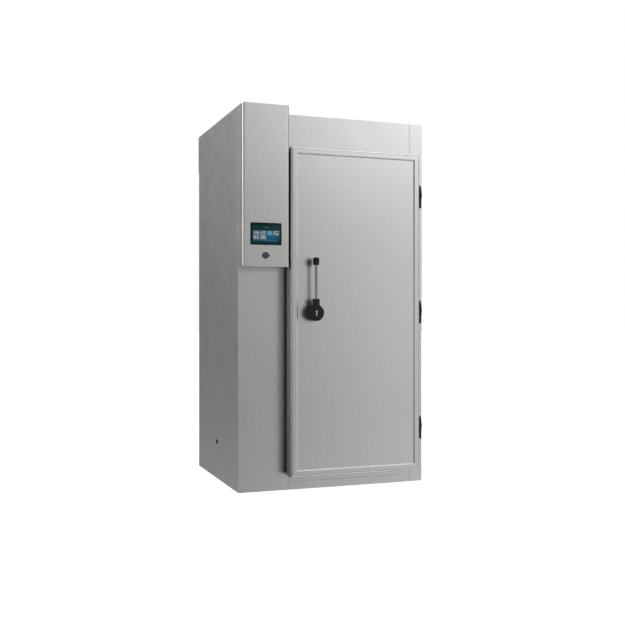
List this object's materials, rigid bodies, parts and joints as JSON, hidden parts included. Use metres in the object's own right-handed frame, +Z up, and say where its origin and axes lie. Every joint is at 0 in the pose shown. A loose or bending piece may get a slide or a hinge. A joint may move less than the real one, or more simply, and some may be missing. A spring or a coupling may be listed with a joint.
{
  "type": "blast chiller",
  "caption": "Roll-in blast chiller cabin: insulated stainless body with a lever-latched door, touch-screen housing, evaporator and fans behind a hinged panel.",
  "frame": {"origin": "centre of the cabinet's footprint on the floor, midway between its side walls and between its front and rear faces", "axes": "+Z up; the door and controls face -Y; +X to the right of someone facing the door, towards the hinges"},
  "size_m": [1.203, 1.2869, 2.281],
  "materials": {
    "stainless": "fine satin grain",
    "stainless_inner": "satin inner sheet",
    "insulation": "foamed core",
    "black_plastic": "fine moulded grain",
    "black_rubber": "soft matt seal",
    "grey_rubber": "soft matt cap",
    "white_plastic": "smooth moulded",
    "green_plastic": "afterglow plastic",
    "chrome": "polished",
    "steel_parts": "plain bright steel",
    "aluminium": "bare fins",
    "copper": "drawn copper tube",
    "brass": "machined",
    "screen_glass": "dark glass with a lit display",
    "circuit_board": "solder mask",
    "grey_plastic": "moulded"
  },
  "bodies": {
    "cabinet": {"floor_base": "stainless", "floor_panel": "stainless_inner", "left_wall": "stainless", "right_wall": "stainless", "rear_wall": "stainless", "roof_panel": "stainless", "header_panel": "stainless", "roof_trunk": "stainless", "rear_cover": "stainless", "suction_pipe": "copper", "liquid_pipe": "copper", "cable_gland": "black_plastic", "frame_sides": "black_plastic", "frame_top": "black_plastic", "door_sill": "stainless", "latch_keeper": "steel_parts", "hinge_brackets": "black_plastic", "hinge_pins": "steel_parts", "control_housing": "stainless", "touch_screen": "screen_glass", "display_module": "grey_plastic", "control_board": "circuit_board", "power_terminals": "grey_plastic", "usb_socket": "black_plastic", "drain_outlet": "black_plastic", "drain_pipe": "white_plastic", "drip_tray": "stainless_inner", "evaporator_fins": "aluminium", "evaporator_tubes": "copper", "expansion_valve": "brass", "air_strips": "stainless_inner", "fan_panel_hinges": "steel_parts", "right_bumpers": "white_plastic", "rear_bumpers": "white_plastic", "probe_socket": "black_plastic", "cam_lock_caps": "white_plastic", "pressure_valve": "white_plastic"},
    "door": {"door_shell": "stainless", "door_core": "insulation", "door_liner": "stainless_inner", "door_gasket": "black_rubber", "hinge_leaves": "black_plastic", "handle_rose": "black_plastic"},
    "handle": {"handle_hub": "black_plastic", "lever_rod": "chrome", "grip_cap": "black_plastic", "spindle": "steel_parts", "latch_arm": "steel_parts", "release_knob": "green_plastic", "lock_cylinder": "chrome"},
    "lock_plug": {"lock_plug": "chrome"},
    "latch_roller": {"latch_roller": "white_plastic"},
    "fan_panel": {"fan_panel": "stainless_inner", "fan_motors": "black_plastic", "fan_guards": "steel_parts"},
    "fan_1": {"fan_rotor_1": "black_plastic"},
    "fan_2": {"fan_rotor_2": "black_plastic"},
    "fan_3": {"fan_rotor_3": "black_plastic"},
    "port_cap": {"usb_cap": "grey_rubber"}
  },
  "joints": [
    {"name": "door_hinge", "type": "hinge", "parent": "cabinet", "child": "door", "pos_m": [0.546, -0.595, 1.0655], "axis": [0, 0, 1], "range_deg": [0, 120]},
    {"name": "handle_turn", "type": "hinge", "parent": "door", "child": "handle", "pos_m": [-0.172, -0.6, 1.061], "axis": [0, 1, 0], "range_deg": [0, 90]},
    {"name": "key_turn", "type": "hinge", "parent": "handle", "child": "lock_plug", "pos_m": [-0.172, -0.68, 1.07], "axis": [0, 1, 0], "range_deg": [0, 180]},
    {"name": "roller_spin", "type": "hinge", "parent": "handle", "child": "latch_roller", "pos_m": [-0.172, -0.526, 0.985], "axis": [0, 0, 1], "continuous": true},
    {"name": "fan_panel_hinge", "type": "hinge", "parent": "cabinet", "child": "fan_panel", "pos_m": [-0.324, 0.3475, 1.136], "axis": [0, 0, 1], "range_deg": [0, 85]},
    {"name": "fan_1_spin", "type": "hinge", "parent": "fan_panel", "child": "fan_1", "pos_m": [-0.35, 0, 0.516], "axis": [1, 0, 0], "continuous": true},
    {"name": "fan_2_spin", "type": "hinge", "parent": "fan_panel", "child": "fan_2", "pos_m": [-0.35, 0, 1.136], "axis": [1, 0, 0], "continuous": true},
    {"name": "fan_3_spin", "type": "hinge", "parent": "fan_panel", "child": "fan_3", "pos_m": [-0.35, 0, 1.756], "axis": [1, 0, 0], "continuous": true},
    {"name": "port_cap_hinge", "type": "hinge", "parent": "cabinet", "child": "port_cap", "pos_m": [-0.4785, -0.6199, 1.396], "axis": [0, 0, -1], "range_deg": [0, 100]}
  ]
}
